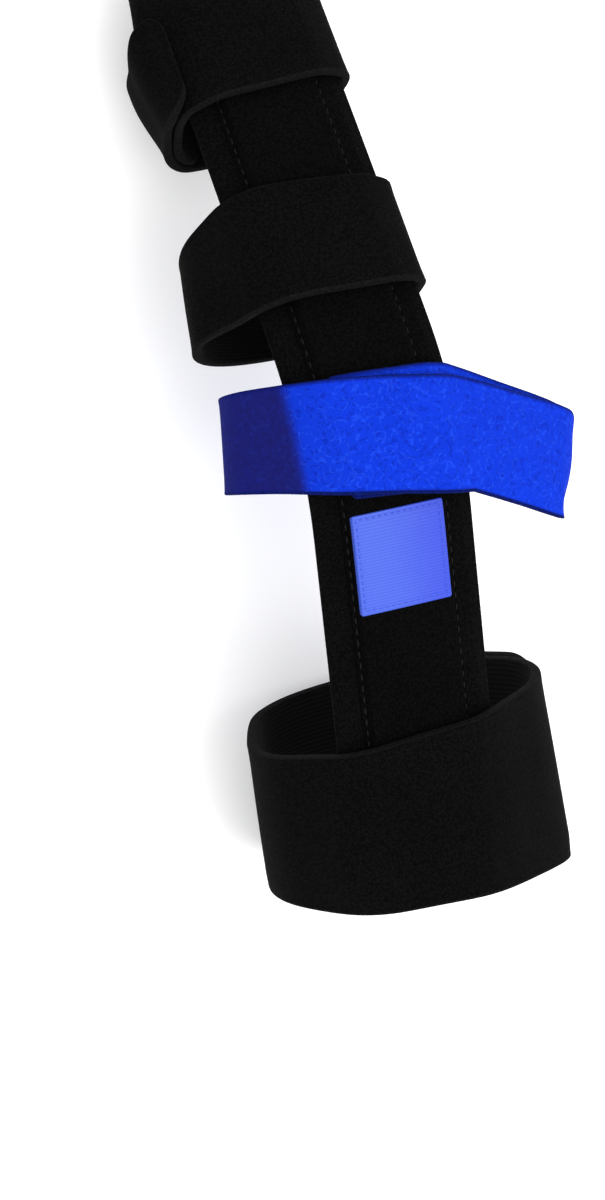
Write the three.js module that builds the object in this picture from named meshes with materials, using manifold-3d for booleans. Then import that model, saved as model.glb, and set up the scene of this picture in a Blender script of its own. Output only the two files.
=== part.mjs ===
// A finger splint for the back of the hand: a padded strip bent at the knuckles, a raised pocket for a
// bendable stay, a woven label, and four wraps that cross over the strip and close round wrist, palm and fingers.
// Millimetres. +X is the little-finger side, +Y points to the fingertips, +Z is up, and the palm side lies down.

import * as THREE from 'three';
import { mergeVertices } from 'three/addons/utils/BufferGeometryUtils.js';
import Module from 'manifold-3d';

const wasm = await Module();
wasm.setup();

// Driving sizes
const GAP = 0.3; // clearance between neighbouring pieces
const SINK = 0.8; // how far the soft wraps are pressed flat where they rest
const FLARE_DEPTH = 10; // how far below the strip a wrap's flared edge is fully flared
const STRIP = { width: 38, thickness: 3, corner: 9, edge: 1.5 };
const POCKET = { width: 26, thickness: 2.1, corner: 5, edge: 1, inset: 5 };
const LABEL = { width: 22, length: 22.8, thickness: 0.6, corner: 1.2, edge: 0.2, station: 82, x: -0.4 };

// The strip seen from the side, from wrist to fingertips: how long each run is and how far it turns down
const RUNS = [
  { run: 'hand', length: 88, bend_deg: 0 },
  { run: 'knuckles', length: 44, bend_deg: 37.5 },
  { run: 'fingers', length: 106, bend_deg: 3 },
];
const STRIP_LENGTH = RUNS.reduce((sum, row) => sum + row.length, 0);
const POCKET_TOP = STRIP.thickness + GAP + POCKET.thickness;

// Round edges of the strip and pocket that every wrap passes over: x across, h above the strip's underside
const POCKET_EDGE = { x: POCKET.width / 2 - POCKET.edge, h: POCKET_TOP - POCKET.edge, r: POCKET.edge + GAP };
const STRIP_EDGE = { x: STRIP.width / 2 - STRIP.edge, h: STRIP.thickness / 2, r: STRIP.edge + GAP };
const pocketRight = { ...POCKET_EDGE };
const pocketLeft = { ...POCKET_EDGE, x: -POCKET_EDGE.x };
const stripRight = { ...STRIP_EDGE };
const stripLeft = { ...STRIP_EDGE, x: -STRIP_EDGE.x };

// Rounds that stand for the hand inside each wrap. A wrap follows them from the outside.
const wrist = {
  thumbSide: { x: -12.5, h: -17, r: 17 },
  thumbPalm: { x: -9, h: -29.9, r: 15 },
  littlePalm: { x: 15, h: -27, r: 15 },
  littleSide: { x: 19, h: -17, r: 17 },
};
const palm = {
  thumbSide: { x: -17.3, h: -14, r: 11 },
  littleSide: { x: 38.5, h: -16, r: 8.5 },
};
const finger = {
  index: { x: -15.3, h: -10.5, r: 10.7 },
  middle: { x: 8, h: -10.5, r: 9.8 },
};
const tip = {
  index: { x: -13.5, h: -8.2, r: 7.6 },
  middle: { x: 6.5, h: -10, r: 8.1 },
};

// A second layer of a wrap lies one thickness and a gap further out than the first
const over = (round, wrap) => ({ ...round, r: round.r + wrap.thickness + GAP });

// Wraps: place along the strip and width there, cloth thickness, radius of the free end's corners, how far the
// outer layer drifts along the strip, and how much narrower the closing tab is than the rest
const WRAPS = {
  wrist_wrap: { station: 19.5, width: 42, thickness: 2.6, corner: 8, drift: 0, tab_narrowing: 0 },
  palm_strap: { station: 108.7, width: 26, thickness: 1.8, corner: 6, drift: 2.2, tab_narrowing: 0 },
  finger_wrap: { station: 154, width: 27.5, thickness: 2.2, corner: 6, drift: 0, tab_narrowing: 0 },
  tip_wrap: { station: 213, width: 40, thickness: 2.2, corner: 6, drift: 0, tab_narrowing: 15.5 },
};

// Angles in the section where each wrap starts and ends, on its first and last round
const WRAP_ENDS = {
  wrist_wrap: { start_deg: -95, end_deg: -10 },
  palm_strap: { start_deg: 10, end_deg: 90 },
  finger_wrap: { start_deg: -95, end_deg: -15 },
  tip_wrap: { start_deg: 108, end_deg: 252 },
};
const UNDER_LAYER_END = -10.8; // x where the palm strap's under layer ends on the pocket

// Edges of the wraps, low towards the wrist and high towards the fingertips: the turn across the strip, the
// sweep back to the wrist on the way to the palm, the flare outwards at the thumb and little-finger sides, and
// the further turn past the strip's little-finger edge
const EDGES = {
  wrist_wrap: {
    low: { turn_deg: -4.5, sweep_deg: 4, thumb_flare: 0, little_flare: 4.5, swing_deg: 0 },
    high: { turn_deg: 4, sweep_deg: 4, thumb_flare: 1, little_flare: 0, swing_deg: 0 },
  },
  palm_strap: {
    low: { turn_deg: -9.5, sweep_deg: -6.2, thumb_flare: 3, little_flare: -6, swing_deg: -18.4 },
    high: { turn_deg: -8.3, sweep_deg: 3.2, thumb_flare: -1, little_flare: 2, swing_deg: -10.6 },
  },
  finger_wrap: {
    low: { turn_deg: 0, sweep_deg: 0, thumb_flare: 4, little_flare: 0, swing_deg: 0 },
    high: { turn_deg: -2, sweep_deg: 18, thumb_flare: 0, little_flare: 0, swing_deg: 0 },
  },
  tip_wrap: {
    low: { turn_deg: 4, sweep_deg: 6, thumb_flare: 0, little_flare: 0, swing_deg: 0 },
    high: { turn_deg: 0, sweep_deg: 6, thumb_flare: -5, little_flare: -3, swing_deg: 0 },
  },
};
// Where the further turn starts over the back of the hand and on the palm side, and how softly it does there
const SWING = { from: 18, palm_from: 28, palm_rounding: 12 };
const TAB = { narrows_from: 0.133, narrows_to: 0.247 }; // shares of the tip wrap's run, from its free end

// Colours seen in the photograph
const BLACK_LOOP = { color: 0x0c0c0e, roughness: 0.95, metalness: 0 };
const BLUE_VELOUR = { color: 0x143ce0, roughness: 0.85, metalness: 0 };
const BLUE_WEAVE = { color: 0x5f78ff, roughness: 0.55, metalness: 0 };

const rad = THREE.MathUtils.degToRad;
const { clamp, smoothstep } = THREE.MathUtils;

// Place and slope of the strip's underside at a distance along it, with the hand run level
function stripAt(station) {
  const point = { y: 0, z: 0, slope: 0 };
  let left = station;
  RUNS.forEach((row, index) => {
    const last = index === RUNS.length - 1;
    const length = last ? left : clamp(left, 0, row.length);
    const turn = (-rad(row.bend_deg) * length) / row.length;
    const chord = Math.abs(turn) < 1e-9 ? length : (2 * length * Math.sin(turn / 2)) / turn;
    point.y += chord * Math.cos(point.slope + turn / 2);
    point.z += chord * Math.sin(point.slope + turn / 2);
    point.slope += turn;
    left -= length;
  });
  return point;
}

// Closed solid through rings of equal count, capped flat at both ends
function loft(rings) {
  const count = rings[0].length;
  const positions = rings.flat().flatMap((p) => [p.x, p.y, p.z]);
  const faces = [];
  for (let i = 0; i + 1 < rings.length; i += 1) {
    for (let k = 0; k < count; k += 1) {
      const a = i * count + k;
      const b = i * count + ((k + 1) % count);
      faces.push(a, b, a + count, b, b + count, a + count);
    }
  }
  const end = (rings.length - 1) * count;
  for (let k = 1; k + 1 < count; k += 1) {
    faces.push(0, k + 1, k, end, end + k, end + k + 1);
  }
  const geometry = new THREE.BufferGeometry();
  geometry.setAttribute('position', new THREE.Float32BufferAttribute(positions, 3));
  geometry.setIndex(faces);
  return geometry;
}

// How much a round corner has drawn an edge in, at a distance from the end
function cornerInset(distance, radius) {
  const short = Math.max(0, radius - distance);
  return radius - Math.sqrt(radius * radius - short * short);
}

// Flat panel that follows the bent strip: a round-edged section carried along it, with round corners in plan
function panelGeometry({ start, length, width, thickness, bottom, corner, edge, x = 0 }) {
  const edgeSteps = 3;
  const cornerSteps = 5;
  const runStep = 5;
  const distances = [];
  for (let i = 0; i <= cornerSteps; i += 1) {
    distances.push(corner * (1 - Math.cos((i / cornerSteps) * (Math.PI / 2))));
  }
  const middle = Math.ceil((length - 2 * corner) / runStep);
  for (let i = 1; i < middle; i += 1) {
    distances.push(corner + (i / middle) * (length - 2 * corner));
  }
  for (let i = cornerSteps; i >= 0; i -= 1) {
    distances.push(length - distances[i]);
  }
  const rings = distances.map((distance) => {
    const half = width / 2 - cornerInset(Math.min(distance, length - distance), corner);
    const at = stripAt(start + distance);
    const outline = new THREE.Path();
    outline.absarc(half - edge, bottom + thickness - edge, edge, 0, Math.PI / 2);
    outline.absarc(-half + edge, bottom + thickness - edge, edge, Math.PI / 2, Math.PI);
    outline.absarc(-half + edge, bottom + edge, edge, Math.PI, 1.5 * Math.PI);
    outline.absarc(half - edge, bottom + edge, edge, 1.5 * Math.PI, 2 * Math.PI);
    return arcPoints(outline, edgeSteps).map(
      (p) => new THREE.Vector3(
        x + p.x,
        at.y - p.y * Math.sin(at.slope),
        at.z + p.y * Math.cos(at.slope),
      ),
    );
  });
  return loft(rings.reverse());
}

// Points of an outline's arcs, each arc cut into the same number of steps, with no point twice
function arcPoints(outline, steps) {
  const closest = 1e-3;
  const points = outline.curves
    .filter((curve) => curve.isEllipseCurve)
    .flatMap((arc) => Array.from({ length: steps + 1 }, (_, i) => arc.getPoint(i / steps)));
  return points.filter((p, i) => i === 0 || p.distanceTo(points[i - 1]) > closest)
    .filter((p, i, all) => i < all.length - 1 || p.distanceTo(all[0]) > closest);
}

// Direction of the outward normal of a taut run from one round to the next, run anticlockwise
function tautNormal(from, to) {
  const dx = to.x - from.x;
  const dh = to.h - from.h;
  return Math.atan2(dh, dx) - Math.acos((from.r - to.r) / Math.hypot(dx, dh));
}

// Inner face of a taut wrap: points on the rounds' arcs and on the straight runs, with outward normals.
// The wrap goes anticlockwise in the x, h plane from its start to its end.
function tautPath(name, rounds) {
  const ends = WRAP_ENDS[name];
  const arcStep = rad(12);
  const runStep = 7;
  const closest = 0.02; // points nearer than this are one
  const slack = 0.2; // how far, in radians, a run may turn back before it counts as a whole turn
  const path = [];
  const add = (x, h, angle) => {
    const before = path.at(-1);
    const distance = before ? before.distance + Math.hypot(x - before.x, h - before.h) : 0;
    if (!before || distance - before.distance > closest) {
      path.push({ x, h, nx: Math.cos(angle), nh: Math.sin(angle), distance });
    }
  };
  rounds.forEach((round, i) => {
    const enter = i === 0 ? rad(ends.start_deg) : tautNormal(rounds[i - 1], round);
    const leave = i === rounds.length - 1 ? rad(ends.end_deg) : tautNormal(round, rounds[i + 1]);
    const turn = THREE.MathUtils.euclideanModulo(leave - enter + slack, 2 * Math.PI) - slack;
    if (i > 0) {
      const from = path.at(-1);
      const x = round.x + round.r * Math.cos(enter);
      const h = round.h + round.r * Math.sin(enter);
      const pieces = Math.ceil(Math.hypot(x - from.x, h - from.h) / runStep);
      for (let k = 1; k < pieces; k += 1) {
        add(from.x + ((x - from.x) * k) / pieces, from.h + ((h - from.h) * k) / pieces, enter);
      }
    }
    const steps = Math.max(1, Math.ceil(turn / arcStep));
    for (let k = 0; k <= steps; k += 1) {
      const angle = enter + (turn * k) / steps;
      add(round.x + round.r * Math.cos(angle), round.h + round.r * Math.sin(angle), angle);
    }
  });
  return path;
}

// How far a point is past the start of the further turn: a sharp start over the back of the hand, and a rounded
// one on the palm side
function swingAcross(x, nh) {
  const overBack = Math.max(0, x - SWING.from);
  const past = x - SWING.palm_from;
  const inPalm = (past + Math.hypot(past, SWING.palm_rounding)) / 2;
  return inPalm + (overBack - inPalm) * smoothstep(nh, -0.5, 0.5);
}

// Point of a band's edge: on the path, grown outwards, then flared, turned, swung and swept as the edge's row says
function edgePoint(p, grow, y, edge) {
  const flare = p.nx < 0 ? edge.thumb_flare : edge.little_flare;
  const sideways = Math.sign(p.nx) * flare * smoothstep(Math.abs(p.nx), 0, 1) * smoothstep(-p.h, 0, FLARE_DEPTH);
  const x = p.x + p.nx * grow + sideways;
  const turned = x * Math.tan(rad(edge.turn_deg)) + swingAcross(x, p.nh) * Math.tan(rad(edge.swing_deg));
  const swept = (POCKET_TOP - p.h) * Math.tan(rad(edge.sweep_deg));
  return new THREE.Vector3(x, y + turned - swept, p.h + p.nh * grow);
}

// Band of cloth along a taut path, with round corners at its ends
function bandGeometry(path, name, { freeAtStart }) {
  const wrap = WRAPS[name];
  const { low, high } = EDGES[name];
  const total = path.at(-1).distance;
  const rings = path.map((p) => {
    const fromFree = freeAtStart ? p.distance : total - p.distance;
    const share = fromFree / total;
    const inset = cornerInset(Math.min(fromFree, total - fromFree), wrap.corner);
    const tab = wrap.tab_narrowing * (1 - smoothstep(share, TAB.narrows_from, TAB.narrows_to));
    const drift = wrap.drift * (share - 0.5);
    const lowY = drift - wrap.width / 2 + inset;
    const highY = drift + wrap.width / 2 - inset - tab;
    return [
      edgePoint(p, 0, lowY, low),
      edgePoint(p, wrap.thickness, lowY, low),
      edgePoint(p, wrap.thickness, highY, high),
      edgePoint(p, 0, highY, high),
    ];
  });
  return loft(rings);
}

function wristWrap() {
  const wrap = WRAPS.wrist_wrap;
  const path = tautPath('wrist_wrap', [
    wrist.littlePalm, wrist.littleSide, stripRight, pocketRight, pocketLeft, stripLeft,
    wrist.thumbSide, wrist.thumbPalm, over(wrist.littlePalm, wrap), over(wrist.littleSide, wrap),
  ]);
  return bandGeometry(path, 'wrist_wrap', { freeAtStart: false });
}

function palmStrap() {
  const wrap = WRAPS.palm_strap;
  const underEnd = { ...pocketRight, x: UNDER_LAYER_END };
  const path = tautPath('palm_strap', [
    over(palm.littleSide, wrap), over(stripRight, wrap), over(pocketRight, wrap), over(underEnd, wrap), stripLeft,
    palm.thumbSide, palm.littleSide, stripRight, pocketRight, underEnd,
  ]);
  return bandGeometry(path, 'palm_strap', { freeAtStart: true });
}

function fingerWrap() {
  const wrap = WRAPS.finger_wrap;
  const path = tautPath('finger_wrap', [
    finger.middle, stripRight, pocketRight, pocketLeft, stripLeft, finger.index, over(finger.middle, wrap),
  ]);
  return bandGeometry(path, 'finger_wrap', { freeAtStart: false });
}

function tipWrap() {
  const wrap = WRAPS.tip_wrap;
  const path = tautPath('tip_wrap', [
    over(stripLeft, wrap), over(tip.index, wrap), tip.middle, stripRight, pocketRight, pocketLeft, stripLeft,
    tip.index,
  ]);
  return bandGeometry(path, 'tip_wrap', { freeAtStart: true });
}

// Mesh with its own material
function mesh(name, geometry, finish) {
  const piece = new THREE.Mesh(geometry, new THREE.MeshStandardMaterial(finish));
  piece.name = name;
  return piece;
}

// Wrap seated on the strip at its station
function seatWrap(name, geometry, finish) {
  const seat = new THREE.Group();
  const at = stripAt(WRAPS[name].station);
  seat.position.set(0, at.y, at.z);
  seat.rotation.x = at.slope;
  seat.add(mesh(name, geometry, finish));
  return seat;
}

function strip() {
  return panelGeometry({ start: 0, length: STRIP_LENGTH, bottom: 0, ...STRIP });
}

function pocket() {
  const start = POCKET.inset;
  const length = STRIP_LENGTH - 2 * POCKET.inset;
  return panelGeometry({ start, length, bottom: STRIP.thickness + GAP, ...POCKET });
}

function labelPatch() {
  const start = LABEL.station - LABEL.length / 2;
  return panelGeometry({ start, bottom: POCKET_TOP + GAP, ...LABEL });
}

// Lowest point of a piece, with the whole splint tipped by an angle about X
function lowest(root, name, angle) {
  root.rotation.x = angle;
  root.updateMatrixWorld(true);
  const piece = root.getObjectByName(name);
  return new THREE.Box3().setFromObject(piece, true).min.z;
}

// Tip the splint until its wrist wrap and its tip wrap are equally low
function restAngle(root) {
  let low = 0;
  let high = rad(30);
  for (let i = 0; i < 40; i += 1) {
    const angle = (low + high) / 2;
    const wristIsLower = lowest(root, 'wrist_wrap', angle) < lowest(root, 'tip_wrap', angle);
    if (wristIsLower) {
      high = angle;
    } else {
      low = angle;
    }
  }
  return (low + high) / 2;
}

function toSolid(geometry) {
  const vertProperties = new Float32Array(geometry.attributes.position.array);
  const triVerts = new Uint32Array(geometry.index.array);
  return new wasm.Manifold(new wasm.Mesh({ numProp: 3, vertProperties, triVerts }));
}

function fromSolid(solid) {
  const { vertProperties, triVerts } = solid.getMesh();
  const geometry = new THREE.BufferGeometry();
  geometry.setAttribute('position', new THREE.BufferAttribute(new Float32Array(vertProperties), 3));
  geometry.setIndex(new THREE.BufferAttribute(new Uint32Array(triVerts), 1));
  return geometry;
}

// Press a wrap flat where it rests: what would reach below the surface is cut level with it
function pressFlat(piece) {
  const reach = 400;
  const block = new THREE.BoxGeometry(reach, reach, reach);
  block.deleteAttribute('normal');
  block.deleteAttribute('uv');
  const surface = toSolid(mergeVertices(block.translate(0, 0, -reach / 2)));
  const inPlace = piece.geometry.clone().applyMatrix4(piece.matrixWorld);
  const pressed = fromSolid(toSolid(inPlace).subtract(surface));
  piece.geometry = pressed.applyMatrix4(piece.matrixWorld.clone().invert());
}

const splint = new THREE.Group();
splint.add(mesh('base_strip', strip(), BLACK_LOOP));
splint.add(mesh('stay_pocket', pocket(), BLACK_LOOP));
splint.add(mesh('label', labelPatch(), BLUE_WEAVE));
splint.add(seatWrap('wrist_wrap', wristWrap(), BLACK_LOOP));
splint.add(seatWrap('palm_strap', palmStrap(), BLUE_VELOUR));
splint.add(seatWrap('finger_wrap', fingerWrap(), BLACK_LOOP));
splint.add(seatWrap('tip_wrap', tipWrap(), BLACK_LOOP));

// Lay the splint down on its wrist and tip wraps, with the origin under the middle of its box
splint.rotation.x = restAngle(splint);
splint.updateMatrixWorld(true);
const box = new THREE.Box3().setFromObject(splint, true);
const centre = box.getCenter(new THREE.Vector3());
splint.position.set(-centre.x, -centre.y, -box.min.z - SINK);
splint.updateMatrixWorld(true);
pressFlat(splint.getObjectByName('wrist_wrap'));
pressFlat(splint.getObjectByName('tip_wrap'));

const group = new THREE.Group();
group.add(splint);

export default group;
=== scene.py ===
"""Finger splint: padded strip with a bend, stay pocket, plain woven label and four wraps.

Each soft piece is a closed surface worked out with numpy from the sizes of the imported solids, in
millimetres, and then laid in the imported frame, in metres. Left is towards negative x. Stations count along
the strip from its end under the wrist wrap, and heights from its underside.
"""

import math
from dataclasses import dataclass
from typing import Callable, NamedTuple

import bmesh
import bpy
import numpy as np
from mathutils import Matrix, Vector


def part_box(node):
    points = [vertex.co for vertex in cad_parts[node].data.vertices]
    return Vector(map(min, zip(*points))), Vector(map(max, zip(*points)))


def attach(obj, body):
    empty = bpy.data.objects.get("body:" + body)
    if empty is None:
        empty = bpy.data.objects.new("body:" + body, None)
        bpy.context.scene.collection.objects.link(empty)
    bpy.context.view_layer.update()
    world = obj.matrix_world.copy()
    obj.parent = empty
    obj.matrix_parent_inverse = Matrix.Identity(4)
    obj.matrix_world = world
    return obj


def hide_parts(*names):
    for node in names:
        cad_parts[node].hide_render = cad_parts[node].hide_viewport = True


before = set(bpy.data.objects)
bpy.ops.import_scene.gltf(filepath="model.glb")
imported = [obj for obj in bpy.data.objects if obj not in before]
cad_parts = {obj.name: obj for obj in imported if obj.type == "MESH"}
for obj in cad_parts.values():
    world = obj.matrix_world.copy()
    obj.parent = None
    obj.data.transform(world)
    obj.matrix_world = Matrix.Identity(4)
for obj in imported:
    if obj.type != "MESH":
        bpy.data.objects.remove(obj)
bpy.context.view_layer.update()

MM = 0.001

# Sizes of the pieces, in millimetres
GAP = 0.3
STRIP_WIDTH, STRIP_THICK, STRIP_CORNER = 38.0, 3.0, 9.0
POCKET_WIDTH, POCKET_THICK, POCKET_CORNER, POCKET_INSET = 26.0, 2.1, 5.0, 5.0
LABEL_WIDTH, LABEL_LENGTH, LABEL_CORNER = 22.0, 22.8, 0.6
LABEL_STATION, LABEL_X = 82.0, -0.4
RUNS = ((88.0, 0.0), (44.0, 37.5), (106.0, 3.0))  # runs of the strip: length, and downward bend in degrees
STRIP_LENGTH = sum(length for length, _ in RUNS)
POCKET_LENGTH = STRIP_LENGTH - 2 * POCKET_INSET
POCKET_TOP = STRIP_THICK + GAP + POCKET_THICK
LABEL_START = LABEL_STATION - LABEL_LENGTH / 2
WRIST_THICK, PALM_THICK, FINGER_THICK = 2.6, 1.8, 2.2

# How the strip, the pocket and the label are finished, in millimetres
STRIP_RIM, STRIP_SHOULDER = 0.8, 3.5  # round rim of the strip, and how far in it is fully thick
RIM_HEIGHT, RIM_HALF = 1.3, 0.75  # height of the middle of that rim, and half its thickness
HEM_RIM, HEM, HEM_SHOULDER = 0.35, 1.15, 1.95  # pocket's rim, its flat hem, and where its padded face is full
HEM_THICK, HEM_SEAM = 0.7, 0.7 * HEM  # thickness of the hem, and how far in its stitches run
POCKET_SEAT, POCKET_CROWN = 0.05, 0.15  # pocket's height above the strip, and the rise of its middle
PUCKER_DEPTH, PUCKER_WIDTH, PUCKER_STEADY = 0.16, 0.55, 0.6  # dip along its seam, and its steady share
LABEL_THICK, LABEL_RIM, LABEL_SEAT = 0.45, 0.25, 0.04
LABEL_SEAM, SEWN_DEPTH, SEWN_WIDTH = 1.0, 0.1, 0.5  # inset of the label's stitches, and the dip along them
END_STEPS = 16  # rows that close up towards an end of a piece

# How the wraps are finished, in millimetres and shares
WRAP_STEP = 0.8  # distance between the rows along a wrap
WRAP_EDGE = 0.7  # how far a wrap's cut edge rounds off
EDGE_POINTS, EDGE_POWER = 9, 0.55  # points round a cut edge, and the power that makes it squarish
INNER_CORNER = 1.5  # corner radius of a wrap's inner end
WANDERS = ((0.16, 9.7, 0.0), (0.09, 4.3, 1.0))  # waves of the cut edges: height, length and phase
CURL, CURL_POWER = 0.22, 8  # how far the cut edges curl out, and how close to the edge
RIPPLES = ((7.3, 4.0, 0.0), (4.1, -3.0, 1.0))  # waves along the cloth: length, slant and phase
RIPPLE_FADE = 12.0  # how far from an end the waves are at full height
PAINTED_SHADE_TURNS = (0.62, 0.8)  # leftward share of the normal over which painted shade comes in, where the strap turns away from the light

# How the wraps run, in millimetres and shares
BOW_RADIUS = 150.0  # a wrap's straight runs keep a slight bow of this radius
MOST_EASE = 0.45  # largest share of an arc that the bow beside it takes up
TURN_BACK = 0.2  # how far, in radians, a run may turn back before it counts as a whole turn
LINE_POINTS, LINE_STEP = 40, 0.4  # points on each arc and run, and the even step of the whole line
SOFTEN, RELAX = 1.3, 5.0  # how far a wrap rounds off what is under it, on the strip and past its ends
BELL_REACH = 3  # how many times as far the average that rounds it off reaches
LOOSE_FROM, LOOSE_TO = -4.0, 3.0  # how far past the strip's end a wrap begins to hang loose, and quite does
FULL_TO = (0.948, 0.317)  # way out, across and up, that a wrap is fullest at the right
FULL_FROM = 0.65  # how nearly the cloth must face that way, or the opposite one, to stand out
FULL_SKEW = 0.8  # under 1, the fullest place is nearer the low edge
FLARE_DEPTH = 10.0  # how far below the strip a wrap's flared edge is fully flared
TAB_NARROWS = (0.133, 0.247)  # shares of the tip wrap's run over which its tab widens, from its free end
TAB_SLANTS = (2.0, 10.0)  # distances from its free end over which the tab's high edge slants in
SWING_FROM = 18.0  # x from which the top of the palm strap turns further
BELOW_SWING_FROM, BELOW_SWING_ROUND = 28.0, 12.0  # x from which its lower part does, and how softly
SWING_FACING = (-0.5, 0.5)  # upward share of the normal over which the lower part's turn becomes the top's
STRAP_REACH = 48.0  # x at which the palm strap no longer bends with the strip
FOLLOW_HEIGHTS = (-8.0, 3.0)  # heights at which a wrap begins to bend with the strip, and quite does
UNDER_FROM = (0.64, 0.79)  # shares of the palm strap's run over which it becomes the under layer

# Rounds that the wraps follow, as x across, height above the strip's underside and radius
POCKET_RIGHT, POCKET_LEFT = (12.0, 4.4, 1.3), (-12.0, 4.4, 1.3)
STRIP_RIGHT, STRIP_LEFT = (17.5, 1.5, 1.8), (-17.5, 1.5, 1.8)
UNDER_END = (-10.8, 4.4, 1.3)  # where the under layer of the palm strap ends
WRIST_LEFT, WRIST_RIGHT = (-12.5, -17.0, 17.0), (19.0, -17.0, 17.0)
WRIST_LOW_LEFT, WRIST_LOW_RIGHT = (-9.0, -29.9, 15.0), (15.0, -27.0, 15.0)
PALM_LEFT, PALM_RIGHT = (-17.3, -14.0, 11.0), (38.5, -16.0, 8.5)
FINGER_LEFT, FINGER_RIGHT = (-15.3, -10.5, 10.7), (8.0, -10.5, 9.8)
TIP_LEFT, TIP_RIGHT = (-13.5, -8.2, 7.6), (6.5, -10.0, 8.1)


def over(round_, thick):
    """The round that a second layer follows: one thickness and a gap further out."""
    x, h, r = round_
    return (x, h, r + thick + GAP)


class Edge(NamedTuple):
    """How a long edge of a wrap lies: angles in degrees, flares in millimetres."""

    turn: float = 0.0  # towards the tip wrap as it goes to the right
    sweep: float = 0.0  # towards the wrist wrap as it goes down
    left: float = 0.0  # how far it flares out at the left
    right: float = 0.0  # how far it flares out at the right
    swing: float = 0.0  # further turn past the strip, at the right


class UnderLayer(NamedTuple):
    """Edges of the under layer at a wrap's inner end."""

    low: Edge
    high: Edge
    shift: float  # how far its low edge lies towards the tip wrap from the outer layer's


@dataclass
class Wrap:
    """A wrap's cut and course, in millimetres."""

    name: str
    station: float  # where it crosses the strip
    width: float
    thick: float
    corner: float  # radius of the corners of its closing end
    low: Edge  # edge towards the strip's start
    high: Edge  # edge towards the strip's far end
    rounds: tuple  # what it follows, anticlockwise in the plane across the strip
    ends: tuple  # angles in degrees where it starts and ends
    free_first: bool  # whether it starts at its closing end
    columns: int  # points across each face
    ripple: float  # height of the slow waves in its cloth
    drift: float = 0.0  # how far the outer layer lies along the strip from the inner one
    tab: float = 0.0  # how much narrower the closing tab is
    slant: float = 0.0  # how far the tab's high edge slants in
    full: tuple = (0.0, 0.0)  # how far the middle of its width stands out at the left and at the right
    pinch: float = 0.0  # how far both edges draw in at the right
    under: UnderLayer | None = None


WRIST = Wrap(
    name="wrist_wrap", station=19.5, width=42.0, thick=WRIST_THICK, corner=8.0,
    low=Edge(turn=-4.5, sweep=4, right=4.5), high=Edge(turn=4, sweep=4, left=1),
    rounds=(WRIST_LOW_RIGHT, WRIST_RIGHT, STRIP_RIGHT, POCKET_RIGHT, POCKET_LEFT, STRIP_LEFT, WRIST_LEFT,
            WRIST_LOW_LEFT, over(WRIST_LOW_RIGHT, WRIST_THICK), over(WRIST_RIGHT, WRIST_THICK)),
    ends=(-95, -10), free_first=False, columns=40, ripple=0.08)
PALM = Wrap(
    name="palm_strap", station=108.7, width=26.0, thick=PALM_THICK, corner=6.0,
    low=Edge(turn=-9.5, sweep=-6.2, left=2.2, right=-6, swing=-18.4),
    high=Edge(turn=-8.3, sweep=3.2, left=-1, right=3.3, swing=-10.6),
    rounds=(over(PALM_RIGHT, PALM_THICK), over(STRIP_RIGHT, PALM_THICK), over(POCKET_RIGHT, PALM_THICK),
            over(UNDER_END, PALM_THICK), STRIP_LEFT, PALM_LEFT, PALM_RIGHT, STRIP_RIGHT, POCKET_RIGHT,
            UNDER_END),
    ends=(10, 90), free_first=True, columns=30, ripple=0.05, drift=2.2, full=(0.0, 1.2), pinch=0.8,
    under=UnderLayer(
        low=Edge(turn=-3.4, sweep=-6.2, left=2.2, right=-6, swing=-18.4),
        high=Edge(turn=-2.1, sweep=19.8, left=-1, right=3.3, swing=-13.7), shift=-1.7))
FINGER = Wrap(
    name="finger_wrap", station=154.0, width=27.5, thick=FINGER_THICK, corner=6.0,
    low=Edge(left=4), high=Edge(turn=-2, sweep=18),
    rounds=(FINGER_RIGHT, STRIP_RIGHT, POCKET_RIGHT, POCKET_LEFT, STRIP_LEFT, FINGER_LEFT,
            over(FINGER_RIGHT, FINGER_THICK)),
    ends=(-95, -15), free_first=False, columns=30, ripple=0.07)
TIP = Wrap(
    name="tip_wrap", station=213.0, width=40.0, thick=FINGER_THICK, corner=6.0,
    low=Edge(turn=4, sweep=6, left=-2), high=Edge(sweep=6, left=-5, right=-3),
    rounds=(over(STRIP_LEFT, FINGER_THICK), over(TIP_LEFT, FINGER_THICK), TIP_RIGHT, STRIP_RIGHT,
            POCKET_RIGHT, POCKET_LEFT, STRIP_LEFT, TIP_LEFT),
    ends=(108, 268), free_first=True, columns=40, ripple=0.07, tab=15.5, slant=6.0, full=(4.2, 0.0))


class Stitch(NamedTuple):
    """Sizes of a stitch, in millimetres."""

    pitch: float
    length: float
    radius: float


POCKET_STITCH = Stitch(pitch=2.7, length=2.0, radius=0.24)
LABEL_STITCH = Stitch(pitch=1.5, length=1.05, radius=0.12)
STITCH_ROWS, STITCH_SIDES = 7, 6
STITCH_ARCH, STITCH_SUNK = 0.9, 0.55  # how high a stitch arches and how deep it sits, in radii
SEAM_LEAST_TURN, SEAM_TURN_POINTS = 0.05, 12  # smallest corner radius of a seam, and points round each corner
SEAM_REACH = 0.2  # how far to both sides a seam's direction is taken

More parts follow.
